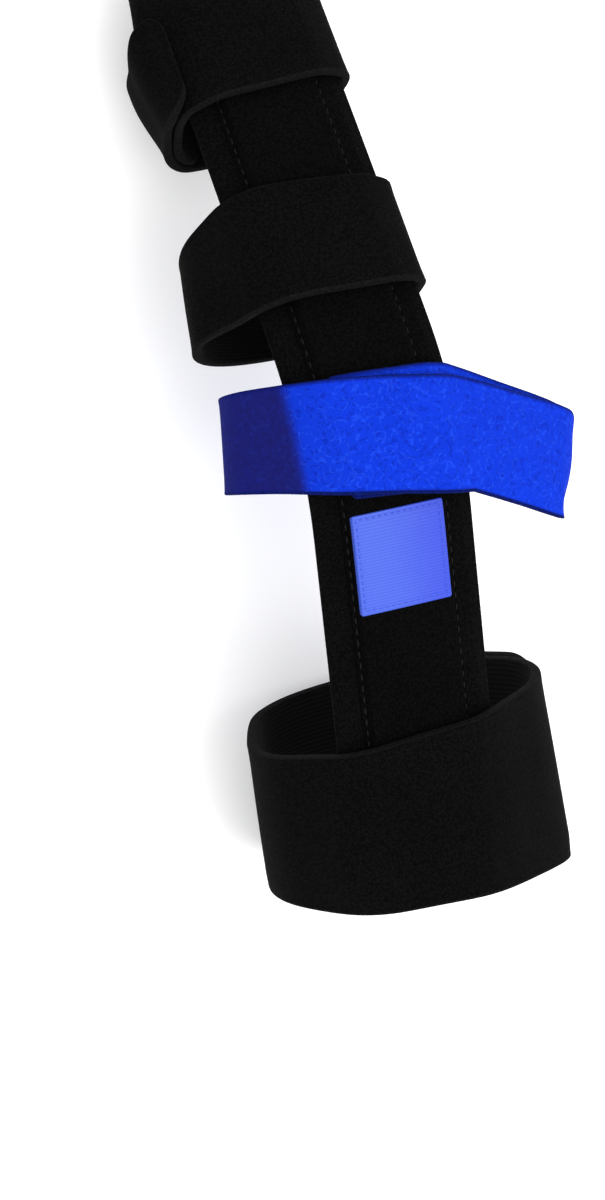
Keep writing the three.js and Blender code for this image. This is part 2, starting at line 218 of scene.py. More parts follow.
# Colours, as linear red, green, blue and alpha
BLACK_TINT = 1.08  # how much bluer than grey the black cloth is
VELOUR_DEEP, VELOUR_BRIGHT = (0.0025, 0.022, 0.40, 1), (0.004, 0.030, 0.49, 1)
VELOUR_PARTED, VELOUR_RAISED = (0.002, 0.008, 0.20, 1), (0.014, 0.070, 0.66, 1)
# The first of these is painted shade: navy for where the blue strap turns away from the light.
VELOUR_PAINTED_SHADE, VELOUR_CUT = (0.0075, 0.0052, 0.052, 1), (0.002, 0.005, 0.09, 1)
BLUE_FOAM_DARK, BLUE_FOAM_LIGHT = (0.001, 0.003, 0.04, 1), (0.002, 0.007, 0.10, 1)
# The pale satin is a painted sheen, towards the side that catches the light; the deep one is the label's own
# blue.
SATIN_PAINTED_SHEEN, SATIN_DEEP = (0.036, 0.082, 0.49, 1), (0.016, 0.042, 0.46, 1)
SATIN_RIB = (0.018, 0.042, 0.42, 1)
BLUE_YARN_DARK, BLUE_YARN_LIGHT = (0.018, 0.045, 0.42, 1), (0.05, 0.10, 0.55, 1)
VELOUR_SHEEN = (0.2, 0.4, 1.0, 1)
WHITE = (1, 1, 1, 1)

# Camera as found from the photograph: degrees, millimetres and pixels
CAMERA_TURN, CAMERA_ROLL, CAMERA_RISE = 18.5, 12.9, 19.6
CAMERA_RIGHT, CAMERA_UP, CAMERA_AWAY = -17.1, -37.9, 700.0
BEND_STATION = 110.0
FOCAL_PX, PHOTO_HEIGHT_PX, SENSOR_HEIGHT = 3174.6, 1200, 36

# Studio, in metres
FLOOR_HALF, FLOOR_HEIGHT = 12.0, -0.0002
LIGHTS_AIM = (0, 0, 0.04)


# Shapes along the strip

def mix(first, second, share):
    """Straight blend: first at 0, second at 1."""
    return first + (second - first) * share


def smooth(value, start, end):
    """Smooth step: 0 up to start, 1 from end, and 3t^2 - 2t^3 between."""
    t = np.clip((value - start) / (end - start), 0, 1)
    return t * t * (3 - 2 * t)


def strip_at(station):
    """The strip's underside seen from the side, first run level: arcs and straights laid end to end, each a
    chord at half its turn. Gives y, z and slope at every station."""
    y, z, slope = (np.zeros_like(station) for _ in range(3))
    remaining = station
    for index, (length, bend_deg) in enumerate(RUNS):
        last = index == len(RUNS) - 1
        run = remaining if last else np.clip(remaining, None if index == 0 else 0, length)
        half_turn = -math.radians(bend_deg) * run / length / 2
        chord = run * np.sinc(half_turn / math.pi)
        y = y + chord * np.cos(slope + half_turn)
        z = z + chord * np.sin(slope + half_turn)
        slope = slope + 2 * half_turn
        remaining = remaining - run
    return y, z, slope


def tipped(y, z, rise):
    """Turns y and z by the rise about X."""
    return y * math.cos(rise) - z * math.sin(rise), y * math.sin(rise) + z * math.cos(rise)


def rest_pose():
    """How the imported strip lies: the rise at which its two faces are as tall as its box, found by halving,
    and the move that brings them to that box."""
    points_along, steepest_deg, halvings = 600, 30, 50
    low, high = (np.array(corner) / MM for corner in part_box("base_strip"))
    y, z, slope = strip_at(np.linspace(0, STRIP_LENGTH, points_along))
    y = np.concatenate([y, y - STRIP_THICK * np.sin(slope)])
    z = np.concatenate([z, z + STRIP_THICK * np.cos(slope)])
    flat, steep = 0.0, math.radians(steepest_deg)
    for _ in range(halvings):
        rise = (flat + steep) / 2
        too_tall = np.ptp(tipped(y, z, rise)[1]) > high[2] - low[2]
        flat, steep = (rise, steep) if too_tall else (flat, rise)
    y, z = tipped(y, z, rise)
    return rise, ((low[0] + high[0]) / 2, low[1] - y.min(), low[2] - z.min())


RISE, PLACE = rest_pose()


def in_frame(x, y, z):
    """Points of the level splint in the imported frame: tipped by the rise, moved to its place, in metres."""
    y, z = tipped(y, z, RISE)
    return MM * np.stack(np.broadcast_arrays(x + PLACE[0], y + PLACE[1], z + PLACE[2]), axis=-1)


def on_strip(station, height):
    """Level y and z of points at a height above the strip's underside, square to it at a station."""
    y, z, slope = strip_at(station)
    return y - height * np.sin(slope), z + height * np.cos(slope)


def steps_along(length, ease, step):
    """Distances along a piece: even steps, closing up on a cosine towards both ends."""
    ending = ease * (1 - np.cos(np.linspace(0, math.pi / 2, END_STEPS)))
    middle = np.linspace(ease, length - ease, math.ceil((length - 2 * ease) / step) + 1)[1:-1]
    return np.concatenate([ending, middle, length - ending[::-1]])


def distances(line):
    """Distance gone at each point of a line, which is given as two rows."""
    return np.concatenate([[0], np.cumsum(np.hypot(*np.diff(line)))])


def corner_inset(distance, radius):
    """How far a round corner draws an edge in, at a distance from the end."""
    short = np.maximum(0, radius - distance)
    return radius - np.sqrt(radius * radius - short * short)


def inside(x, along, width, length, corner):
    """Distance in from the outline of a panel with round corners."""
    across = np.abs(x) - (width / 2 - corner)
    down = np.abs(along - length / 2) - (length / 2 - corner)
    beyond = np.hypot(np.maximum(across, 0), np.maximum(down, 0))
    return corner - beyond - np.minimum(np.maximum(across, down), 0)


def rim(distance, radius):
    """Quarter round: 0 at an edge, 1 from a radius in."""
    short = np.clip(1 - distance / radius, 0, 1)
    return np.sqrt(1 - short * short)


def dip(distance, seam, width):
    """Bell-shaped dip along a seam: 1 on it, and falling off on both sides."""
    return np.exp(-((distance - seam) / width) ** 2)


def strip_faces(x, along):
    """Top and underside of the padded strip: both leave a round rim and part to the full thickness."""
    d = inside(x, along, STRIP_WIDTH, STRIP_LENGTH, STRIP_CORNER)
    half = RIM_HALF * rim(d, STRIP_RIM)
    shoulder = smooth(d, 0, STRIP_SHOULDER)
    top = RIM_HEIGHT + half + (STRIP_THICK - RIM_HEIGHT - RIM_HALF) * shoulder
    under = RIM_HEIGHT - half - (RIM_HEIGHT - RIM_HALF) * shoulder
    return top, under


def pocket_faces(x, along):
    """Top and underside of the stay pocket: a thin flat hem with puckers at the stitches, then a padded
    face that rises over a shoulder and crowns along its middle as a parabola."""
    d = inside(x, along, POCKET_WIDTH, POCKET_LENGTH, POCKET_CORNER)
    seat = STRIP_THICK + POCKET_SEAT
    hem = HEM_THICK * rim(d, HEM_RIM)
    crown = POCKET_CROWN * np.clip(1 - (x / (POCKET_WIDTH / 2 - HEM)) ** 2, 0, 1)
    face = smooth(d, HEM, HEM_SHOULDER) * (POCKET_TOP - seat - HEM_THICK - POCKET_CROWN + crown)
    stitch_wave = np.cos(2 * math.pi * along / POCKET_STITCH.pitch)
    pucker = PUCKER_DEPTH * dip(d, HEM_SEAM, PUCKER_WIDTH) * mix(stitch_wave, 1, PUCKER_STEADY)
    top = seat + hem + face - pucker * rim(d, HEM_RIM)
    return top, np.full_like(top, seat)


def label_faces(x, along):
    """Top and underside of the label: they follow the pocket's face, a thread's thickness apart, up to a
    thin rim, and dip along the seam."""
    d = inside(x, along, LABEL_WIDTH, LABEL_LENGTH, LABEL_CORNER)
    seat = pocket_faces(x + LABEL_X, along + LABEL_START - POCKET_INSET)[0] + LABEL_SEAT
    sewn = SEWN_DEPTH * dip(d, LABEL_SEAM, SEWN_WIDTH)
    return seat + (LABEL_THICK - sewn) * rim(d, LABEL_RIM), seat


@dataclass
class Panel:
    """A panel on the strip: its place along and across it, its cut, and its two faces, in millimetres."""

    name: str
    start: float  # station where it begins
    length: float
    width: float
    corner: float
    faces: Callable  # heights of its top and underside at places across and along it
    columns: int  # points across each face
    step: float  # distance between the rows along it
    x: float = 0.0


STRIP = Panel("base_strip", 0.0, STRIP_LENGTH, STRIP_WIDTH, STRIP_CORNER, strip_faces, columns=56, step=1.2)
POCKET = Panel(
    "stay_pocket", POCKET_INSET, POCKET_LENGTH, POCKET_WIDTH, POCKET_CORNER, pocket_faces,
    columns=64, step=0.675)
LABEL = Panel(
    "label", LABEL_START, LABEL_LENGTH, LABEL_WIDTH, LABEL_CORNER, label_faces,
    columns=72, step=0.4, x=LABEL_X)


def panel_grid(panel):
    """Panel on the bent strip: rows along it and, round each row, columns across the top face and back
    under it, closing up on a sine towards both sides. Gives the points, their flat places on the cloth, and
    for each column 0 on the top face and 1 on the underside."""
    along = steps_along(panel.length, panel.corner, panel.step)[:, None]
    half = panel.width / 2 - corner_inset(np.minimum(along, panel.length - along), panel.corner)
    spread = np.sin(np.linspace(-math.pi / 2, math.pi / 2, panel.columns))
    across = np.concatenate([spread, spread[-2:0:-1]])
    along, x = np.broadcast_arrays(along, half * across)
    top, under = panel.faces(x, along)
    part = np.where(np.arange(across.size) < panel.columns, 0, 1)
    y, z = on_strip(along + panel.start, np.where(part == 0, top, under))
    flat = np.stack([along + panel.start, x], axis=-1) * MM
    return in_frame(x + panel.x, y, z), flat, part


# Wraps

def tangents(rounds, ends):
    """Normals, as angles, at the start of a taut line, of each run that touches two rounds, and at its end.
    With each goes the angle by which that run's bow lets the arcs beside it stop short."""
    normals, eases = [math.radians(ends[0])], [0.0]
    for (x0, h0, r0), (x1, h1, r1) in zip(rounds, rounds[1:]):
        span = math.hypot(x1 - x0, h1 - h0)
        normals.append(math.atan2(h1 - h0, x1 - x0) - math.acos((r0 - r1) / span))
        eases.append(span / (2 * BOW_RADIUS))
    return normals + [math.radians(ends[1])], eases + [0.0]


def bowed_run(begin, end, share):
    """Run from one point to another that bows out to its right as a parabola."""
    run = end - begin
    bow = np.hypot(*run) / (2 * BOW_RADIUS) * share * (1 - share)
    return begin + run * share + np.stack([run[1], -run[0]]) * bow


def arcs_and_runs(rounds, ends):
    """Taut line as an arc on each round, between the normals of the two runs that touch it, and bowed
    runs."""
    normals, eases = tangents(rounds, ends)
    share = np.linspace(0, 1, LINE_POINTS)
    stretches = []
    for index, (x, h, r) in enumerate(rounds):
        turn = (normals[index + 1] - normals[index] + TURN_BACK) % (2 * math.pi) - TURN_BACK
        most = MOST_EASE * max(turn, 0)
        later, sooner = min(eases[index], most), min(eases[index + 1], most)
        angle = normals[index] + later + (turn - later - sooner) * share
        arc = np.stack([x + r * np.cos(angle), h + r * np.sin(angle)])
        if stretches:
            stretches.append(bowed_run(stretches[-1][:, -1:], arc[:, :1], share))
        stretches.append(arc)
    return np.concatenate(stretches, axis=1)


def softened(line, soften):
    """Line cut into even steps and rounded off by a bell-shaped average."""
    gone = distances(line)
    even = np.linspace(0, gone[-1], math.ceil(gone[-1] / LINE_STEP) + 1)
    line = np.stack([np.interp(even, gone, row) for row in line])
    reach = math.ceil(BELL_REACH * soften / LINE_STEP)
    bell = np.exp(-0.5 * (np.arange(-reach, reach + 1) * LINE_STEP / soften) ** 2)
    longer = np.pad(line, ((0, 0), (reach, reach)), mode="reflect", reflect_type="odd")
    return np.stack([np.convolve(row, bell / bell.sum(), "valid") for row in longer])


def taut_line(wrap, soften):
    """Inner face of a taut wrap in the plane across the strip. Gives the distance along it and, as rows,
    its x, its height and its outward normal, which is the direction turned right."""
    line = softened(arcs_and_runs(wrap.rounds, wrap.ends), soften)
    ahead = np.gradient(line, axis=1)
    ahead = ahead / np.hypot(*ahead)
    return distances(line), np.stack([line[0], line[1], ahead[1], -ahead[0]])


class Course(NamedTuple):
    """Where a wrap runs, row by row."""

    total: float  # its whole length
    along: np.ndarray  # distance from where it starts
    from_free: np.ndarray  # distance from its closing end
    taut: np.ndarray  # its line on the strip: x, height and normal
    loose: np.ndarray  # its rounder line past the strip's ends


def course_of(wrap):
    """A wrap's rows, with its taut and its loose line taken at the same shares of their lengths."""
    gone, taut = taut_line(wrap, SOFTEN)
    loose_gone, loose = taut_line(wrap, RELAX)
    total = gone[-1]
    along = steps_along(total, wrap.corner, WRAP_STEP)
    taut = np.stack([np.interp(along, gone, row) for row in taut])
    loose = np.stack([np.interp(along * loose_gone[-1] / total, loose_gone, row) for row in loose])
    along = along[:, None]
    from_free = along if wrap.free_first else total - along
    return Course(total, along, from_free, taut[..., None], loose[..., None])


class Lie(NamedTuple):
    """How a wrap lies at each point: x, height and outward normal of its line."""

    x: np.ndarray
    h: np.ndarray
    nx: np.ndarray
    nh: np.ndarray


def cloth_section(columns):
    """Round of a strap's section: across the outer face, over the high edge, back along the inner face and
    over the low edge. side runs from -1 to 1 over the flat faces, out from -1 to 1 over the squarish
    edges, and through is 0 at the inner face and 1 at the outer one. part is 0 on the outer face, 1 on a
    cut edge, 2 on the inner face."""
    face = np.linspace(-1, 1, columns)
    turn = np.linspace(0, math.pi, EDGE_POINTS)[1:-1]
    bulge = np.sin(turn) ** EDGE_POWER
    level = 0.5 + 0.5 * np.sign(np.cos(turn)) * np.abs(np.cos(turn)) ** EDGE_POWER
    flat, edge = np.zeros(columns), np.ones(turn.size)
    side = np.concatenate([face, edge, face[::-1], -edge])
    out = np.concatenate([flat, bulge, flat, -bulge])
    through = np.concatenate([flat + 1, level, flat, level[::-1]])
    part = np.concatenate([flat, edge, flat + 2, edge]).astype(int)
    return side, out, through, part


def flat_cut(wrap, course):
    """Low and high edge of a wrap as it is cut: half the width to each side of a middle that drifts along
    the run, drawn in at round corners and, on the high edge, at the closing tab. Both wander a little."""
    share = course.from_free / course.total
    middle = wrap.drift * (share - 0.5)
    inset = np.maximum(
        corner_inset(course.from_free, wrap.corner),
        corner_inset(course.total - course.from_free, INNER_CORNER))
    narrower = wrap.tab + wrap.slant * smooth(course.from_free, *TAB_SLANTS)
    wander = sum(height * np.sin(course.along / length + phase) for height, length, phase in WANDERS)
    low = middle - wrap.width / 2 + inset + wander
    high = middle + wrap.width / 2 - inset - narrower * (1 - smooth(share, *TAB_NARROWS)) + wander[::-1]
    return low, high


def growth(wrap, course, across, through):
    """How far out from the line each point lies: its share of the thickness, which closes on its middle in
    a quarter round at both ends, a curl that rises as a power towards the cut edges, and slow slanting
    waves."""
    to_end = np.minimum(course.from_free, course.total - course.from_free)
    thick = wrap.thick * (0.5 + (through - 0.5) * rim(to_end, WRAP_EDGE))
    curl = CURL * np.abs(2 * across - 1) ** CURL_POWER
    wave = sum(np.sin(course.along / length + slant * across + phase) for length, slant, phase in RIPPLES)
    return thick + curl + wrap.ripple * wave * smooth(to_end, 0, RIPPLE_FADE)


def flare(edge, lie):
    """How far an edge is moved sideways: all of its flare where the cloth faces sideways, well below the
    strip."""
    sideways = np.where(lie.nx < 0, -edge.left, edge.right)
    return sideways * smooth(np.abs(lie.nx), 0, 1) * smooth(-lie.h, 0, FLARE_DEPTH)


def swing_across(x, nh):
    """How far a point is past the start of the further turn: a sharp start on the top, and below it a
    rounded one, half the sum of the distance past it and of its hypotenuse with the rounding."""
    past = x - BELOW_SWING_FROM
    below = (past + np.hypot(past, BELOW_SWING_ROUND)) / 2
    on_top = np.maximum(0, x - SWING_FROM)
    return mix(below, on_top, smooth(nh, *SWING_FACING))


def edge_line(edge, y, lie, grow):
    """Where an edge lies along the strip: its cut place, turned with x, turned further past the strip, and
    swept with the depth below the pocket's top."""
    turn, swing, sweep = (math.tan(math.radians(angle)) for angle in (edge.turn, edge.swing, edge.sweep))
    x = lie.x + lie.nx * grow + flare(edge, lie)
    return y + x * turn + swing_across(x, lie.nh) * swing - (POCKET_TOP - lie.h) * sweep


def laid_edges(wrap, course, lie, grow, low, high):
    """Both edges of a wrap along the strip. Towards its inner end they become those of the under layer, if
    any."""
    outer_low, outer_high = edge_line(wrap.low, low, lie, grow), edge_line(wrap.high, high, lie, grow)
    if wrap.under is None:
        return outer_low, outer_high
    inner = smooth(course.from_free / course.total, *UNDER_FROM)
    under_low = edge_line(wrap.under.low, low + wrap.under.shift, lie, grow)
    under_high = edge_line(wrap.under.high, high, lie, grow)
    return mix(outer_low, under_low, inner), mix(outer_high, under_high, inner)


def laid_on_strip(wrap, x, y, h):
    """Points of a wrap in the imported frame. It lies straight out from the strip at its own station, its
    upper part bends with the strip instead, and where it rests it is pressed flat."""
    station = np.float64(wrap.station)
    at_y, at_z, slope = strip_at(station)
    ahead, up = tipped(y, h, slope)
    straight = np.stack([at_y + ahead, at_z + up])
    bend_per_mm = strip_at(station - 0.5)[2] - strip_at(station + 0.5)[2]
    bent = np.stack(on_strip(station + y / (1 + h * bend_per_mm), h))
    follow = smooth(h, *FOLLOW_HEIGHTS) * smooth(-x, -STRAP_REACH, -SWING_FROM)
    points = in_frame(x, *mix(straight, bent, follow))
    points[..., 2] = np.maximum(points[..., 2], 0)
    return points


def band(wrap, course):
    """Wrap as a section carried along its line, which is taut on the strip and rounder past its ends. Each
    point is grown outwards by its share of the thickness and lies between the low and the high edge, which
    turn, sweep and flare. At the left and the right the middle of the width stands out on a squared sine,
    and at the right both edges draw in. The painted shade of each point is 1 where the cloth faces left,
    away from the light."""
    side, out, through, part = cloth_section(wrap.columns)
    low, high = flat_cut(wrap, course)
    margin = WRAP_EDGE / (high - low)
    across = 0.5 + side * (0.5 - margin) + out * margin
    station = wrap.station + mix(low, high, across)
    past_strip = np.maximum(-station, station - STRIP_LENGTH)
    lie = Lie(*mix(course.taut, course.loose, smooth(past_strip, LOOSE_FROM, LOOSE_TO)))
    grow = growth(wrap, course, across, through)
    facing = lie.nx * FULL_TO[0] + lie.nh * FULL_TO[1]
    at_left, at_right = smooth(-facing, FULL_FROM, 1), smooth(facing, FULL_FROM, 1)
    width_share = np.clip((station - wrap.station) / wrap.width + 0.5, 0, 1)
    stands_out = wrap.full[1] * at_right - wrap.full[0] * at_left
    full = np.sin(math.pi * width_share ** FULL_SKEW) ** 2 * stands_out
    pinch = wrap.pinch * at_right
    laid_low, laid_high = laid_edges(wrap, course, lie, grow, low + pinch, high - pinch)
    x = lie.x + lie.nx * grow + mix(flare(wrap.low, lie), flare(wrap.high, lie), width_share) + full
    points = laid_on_strip(wrap, x, mix(laid_low, laid_high, across), lie.h + lie.nh * grow)
    flat = np.stack(np.broadcast_arrays(course.along, across * wrap.width), axis=-1) * MM
    # Last comes the painted shade: 1 where the cloth faces left, away from the light.
    return points, flat, part, smooth(-lie.nx, *PAINTED_SHADE_TURNS)


def cut_area(wrap, total):
    """Flat area of a wrap: width times length, less what its narrower tab and the tab's slant leave off."""
    tab_length, slant_from = total * sum(TAB_NARROWS) / 2, sum(TAB_SLANTS) / 2
    left_off = wrap.tab * tab_length + wrap.slant * (tab_length - slant_from)
    return wrap.width * total - left_off


# Meshes

def weld(mesh):
    """Merges the points that meet at rims and ends, and turns the faces of the closed surface outwards."""
    work = bmesh.new()
    work.from_mesh(mesh)
    bmesh.ops.remove_doubles(work, verts=work.verts, dist=1e-6)
    bmesh.ops.recalc_face_normals(work, faces=work.faces)
    work.to_mesh(mesh)
    work.free()
    mesh.shade_smooth()


def piece(name, mesh, slot, *nodes):
    """Object at the origin that rides on the splint's one body and stands for the nodes."""
    made = bpy.data.objects.new(name, mesh)
    bpy.context.scene.collection.objects.link(made)
    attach(made, "root")
    if nodes:
        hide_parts(*nodes)
    return made


def quads_round(grid):
    """What a grid holds at the four corners of each of its quads, row by row, where its columns close
    round."""
    after = np.roll(grid, -1, axis=1)
    return np.stack([grid[:-1], after[:-1], after[1:], grid[1:]], axis=2)


def tube_mesh(name, points, flat, part, finishes, painted_shade=None):
    """Mesh of a grid of points whose columns close round: a quad between each four neighbours, with its
    flat place on the cloth as UV, its column's finish and, where given, its painted shade as an
    attribute."""
    rows, columns = points.shape[:2]
    faces = quads_round(np.arange(rows * columns).reshape(rows, columns))
    mesh = bpy.data.meshes.new(name)
    mesh.from_pydata(points.reshape(-1, 3), [], faces.reshape(-1, 4))
    mesh.uv_layers.new(name="cloth").data.foreach_set("uv", quads_round(flat).ravel())
    for finish in finishes:
        mesh.materials.append(finish)
    mesh.polygons.foreach_set("material_index", np.tile(part, rows - 1).astype(np.int32))
    if painted_shade is not None:
        mesh.attributes.new("painted_shade", "FLOAT", "POINT").data.foreach_set("value", painted_shade.ravel())
    weld(mesh)
    return mesh


def unit(vectors):
    """Vectors, one to a row, at length 1."""
    return vectors / np.linalg.norm(vectors, axis=1, keepdims=True)


def seam_outline(panel, inset):
    """Closed line parallel to a panel's outline, that far inside it and about its middle: four quarter
    turns joined by straights."""
    half, long = panel.width / 2 - inset, panel.length / 2 - inset
    r = max(panel.corner - inset, SEAM_LEAST_TURN)
    quarter = np.linspace(0, math.pi / 2, SEAM_TURN_POINTS)
    signs = ((1, 1), (-1, 1), (-1, -1), (1, -1))
    turns = []
    for index, (x_sign, y_sign) in enumerate(signs):
        angle = quarter + index * math.pi / 2
        turns.append([x_sign * (half - r) + r * np.cos(angle), y_sign * (long - r) + r * np.sin(angle)])
    outline = np.concatenate(turns, axis=1)
    return np.concatenate([outline, outline[:, :1]], axis=1)


def seam_line(panel, inset, pitch):
    """Even places on a seam round a panel, each on its top face, with the direction along it and the way
    up."""
    outline = seam_outline(panel, inset)
    gone = distances(outline)
    count = round(gone[-1] / pitch)
    even = (np.arange(count) + 0.5) * gone[-1] / count

    def on_panel(distance):
        x, along = (np.interp(distance % gone[-1], gone, row) for row in outline)
        return x, along + panel.length / 2

    def place(distance):
        x, along = on_panel(distance)
        y, z = on_strip(along + panel.start, panel.faces(x, along)[0])
        return in_frame(x + panel.x, y, z)

    ahead = unit(place(even + SEAM_REACH) - place(even - SEAM_REACH))
    slope = strip_at(on_panel(even)[1] + panel.start)[2] + RISE
    up = np.stack([0 * slope, -np.sin(slope), np.cos(slope)], axis=1)
    up = up - ahead * np.sum(up * ahead, axis=1, keepdims=True)
    return place(even), ahead, unit(up)


def stitches(name, line, stitch, finish):
    """Stitches as one mesh: each is a thread bent in a low arch that falls off as 1 - u^2, with u from -1
    to 1, and as thick as the root of 1 - u^4, so that it closes to a point where it dives into the
    cloth."""
    places, ahead, up = line
    length, radius = stitch.length * MM, stitch.radius * MM
    u = np.linspace(-1, 1, STITCH_ROWS)[:, None]
    turn = np.linspace(0, 2 * math.pi, STITCH_SIDES, endpoint=False)
    thick = radius * np.sqrt(np.clip(1 - u ** 4, 0, 1))
    lift = radius * (STITCH_ARCH * (1 - u * u) - STITCH_SUNK) + thick * np.sin(turn)
    one = np.stack(np.broadcast_arrays(length / 2 * u, lift, thick * np.cos(turn)), axis=-1)
    axes = np.stack([ahead, up, np.cross(ahead, up)], axis=1)
    points = places[:, None, None] + one @ axes[:, None]
    size = STITCH_ROWS * STITCH_SIDES
    one_faces = quads_round(np.arange(size).reshape(STITCH_ROWS, STITCH_SIDES)).reshape(-1, 4)
    faces = one_faces + size * np.arange(len(places))[:, None, None]
    mesh = bpy.data.meshes.new(name)
    mesh.from_pydata(points.reshape(-1, 3), [], faces.reshape(-1, 4))
    mesh.materials.append(finish)
    weld(mesh)
    return mesh


# Finishes

class Value:
    """A shader socket that takes part in sums: each operator adds one Math node."""

    def __init__(self, finish, socket):
        self.finish = finish
        self.socket = socket

    def combine(self, operation, first, second):
        return self.finish.node("ShaderNodeMath", {"operation": operation}, {0: first, 1: second})

    def __add__(self, other):
        return self.combine("ADD", self, other)

    def __sub__(self, other):
        return self.combine("SUBTRACT", self, other)

    def __rsub__(self, other):
        return self.combine("SUBTRACT", other, self)

    def __mul__(self, other):
        return self.combine("MULTIPLY", self, other)

    __radd__ = __add__
    __rmul__ = __mul__


class Finish:
    """A node material for one of the splint's cloths or threads."""

    def __init__(self, name):
        self.material = bpy.data.materials.new(name)
        self.material.use_nodes = True
        self.tree = self.material.node_tree
        self.tree.nodes.clear()

    def node(self, kind, settings=None, sockets=None, output=0):
        """Adds a node: its settings first, then the values or links of its sockets. Gives one of its
        outputs."""
        made = self.tree.nodes.new(kind)
        for key, value in (settings or {}).items():
            setattr(made, key, value)
        for key, value in (sockets or {}).items():
            if isinstance(value, Value):
                self.tree.links.new(value.socket, made.inputs[key])
            else:
                made.inputs[key].default_value = value
        return Value(self, made.outputs[output]) if made.outputs else None

    def place(self):
        """Place on the splint, in metres."""
        return self.node("ShaderNodeTexCoord", output="Object")

    def flat(self):
        """Flat place on the cloth: along it and across it."""
        return self.node("ShaderNodeUVMap", {"uv_map": "cloth"})

    def part_of(self, vector, axis):
        """One axis of a place."""
        return self.node("ShaderNodeSeparateXYZ", None, {0: vector}, output=axis)

    def noise(self, vector, size_mm, detail=2.0, roughness=0.5):
        """Soft noise whose features have a size."""
        sockets = {"Vector": vector, "Scale": 1 / (size_mm * MM), "Detail": detail, "Roughness": roughness}
        return self.node("ShaderNodeTexNoise", None, sockets)

    def spots(self, vector, size_mm):
        """Distance from the nearest of scattered points, about a size apart."""
        return self.node("ShaderNodeTexVoronoi", None, {"Vector": vector, "Scale": 1 / (size_mm * MM)})

    def ribs(self, vector, direction, period_mm, distortion):
        """Even ribs: a Wave texture's bands, which repeat every pi / 10 over its scale."""
        sockets = {"Vector": vector, "Scale": math.pi / 10 / (period_mm * MM), "Distortion": distortion}
        return self.node("ShaderNodeTexWave", {"bands_direction": direction}, sockets)

    def ramp(self, value, start, end):
        """Smooth step of a value as a mask from 0 to 1."""
        settings = {"interpolation_type": "SMOOTHSTEP", "clamp": True}
        return self.node("ShaderNodeMapRange", settings, {0: value, 1: start, 2: end})

    def blend(self, factor, first, second):
        """Colour blend: first at 0, second at 1."""
        sockets = {0: factor, 6: first, 7: second}
        return self.node("ShaderNodeMix", {"data_type": "RGBA"}, sockets, output=2)

    def bump(self, height, depth_mm):
        """Normal of a relief that is as deep as a height of 1."""
        sockets = {"Strength": 1.0, "Distance": depth_mm * MM, "Height": height}
        return self.node("ShaderNodeBump", None, sockets)

    def surface(self, **sockets):
        """Closes the material with a Principled shader. Constants are set on its own sockets."""
        named = {key.replace("_", " "): value for key, value in sockets.items()}
        shader = self.node("ShaderNodeBsdfPrincipled", None, named)
        self.node("ShaderNodeOutputMaterial", None, {"Surface": shader})
        return self.material


def grey(tone, blue=1.0):
    """Grey of a tone, with its blue part stronger or weaker."""
    return (tone, tone, tone * blue, 1)


def loop_cloth(name, dark, light):
    """Black brushed loop cloth: short fuzz over small loop heads in faint rows, a little uneven all
    over."""
    cloth = Finish(name)
    place = cloth.place()
    hollows = cloth.ramp(cloth.spots(place, size_mm=0.62), start=0.1, end=0.8)
    fuzz = cloth.noise(place, size_mm=0.32, detail=4, roughness=0.7)
    uneven = cloth.noise(place, size_mm=22)
    rows = cloth.ribs(cloth.flat(), "Y", period_mm=1.5, distortion=1.6)
    heads = (1 - hollows) * (0.55 + 0.45 * fuzz)
    tone = cloth.ramp(heads * 0.5 + fuzz * 0.3 + uneven * 0.3, start=0.2, end=0.95)
    colour = cloth.blend(tone, grey(dark, BLACK_TINT), grey(light, BLACK_TINT))
    height = heads * 0.36 + fuzz * 0.54 + rows * 0.1
    return cloth.surface(
        Base_Color=colour, Roughness=0.86 + 0.1 * fuzz, Normal=cloth.bump(height, depth_mm=0.35),
        Specular_IOR_Level=0.025, Sheen_Weight=0.006, Sheen_Roughness=0.45)


def knit_lining(name, dark, light):
    """Smooth black lining of the inner side: fine ribs of knit along the cloth."""
    cloth = Finish(name)
    ribs = cloth.ribs(cloth.flat(), "Y", period_mm=1.1, distortion=0.6)
    fuzz = cloth.noise(cloth.place(), size_mm=0.4)
    height = ribs * 0.7 + fuzz * 0.3
    return cloth.surface(
        Base_Color=cloth.blend(ribs, dark, light), Roughness=0.8 + 0.1 * fuzz,
        Normal=cloth.bump(height, depth_mm=0.12), Specular_IOR_Level=0.04, Sheen_Weight=0.008)


def cut_edge(name, dark, light):
    """Cut edge of the laminate: open foam cells, paler than the pile. On the black laminate the paler
    tone is partly a painted highlight, where the edge catches the light.
    """
    edge = Finish(name)
    cells = edge.spots(edge.place(), size_mm=0.45)
    colour = edge.blend(edge.ramp(cells, start=0.1, end=0.75), dark, light)
    return edge.surface(
        Base_Color=colour, Roughness=0.92, Normal=edge.bump(cells, depth_mm=0.2), Specular_IOR_Level=0.03,
        Sheen_Weight=0.006)


def squiggles(pile, place, breaks, size_mm, detail):
    """Short curved lines in the pile: where a noise passes its middle, broken up by a finer one."""
    lie = pile.noise(place, size_mm, detail) - 0.5
    return (1 - pile.ramp(lie * lie, start=0.0, end=0.0034)) * pile.ramp(breaks, start=0.44, end=0.56)


def near_cut(pile, width):
    """Mask along both long edges of a strap and across its closing end."""
    begins, full = 1.3 * MM, 0.4 * MM
    flat = pile.flat()
    across = pile.part_of(flat, "Y") - width / 2
    sides = pile.ramp(across * across, start=(width / 2 - begins) ** 2, end=(width / 2 - full) ** 2)
    return sides + pile.ramp(pile.part_of(flat, "X"), start=begins, end=full)


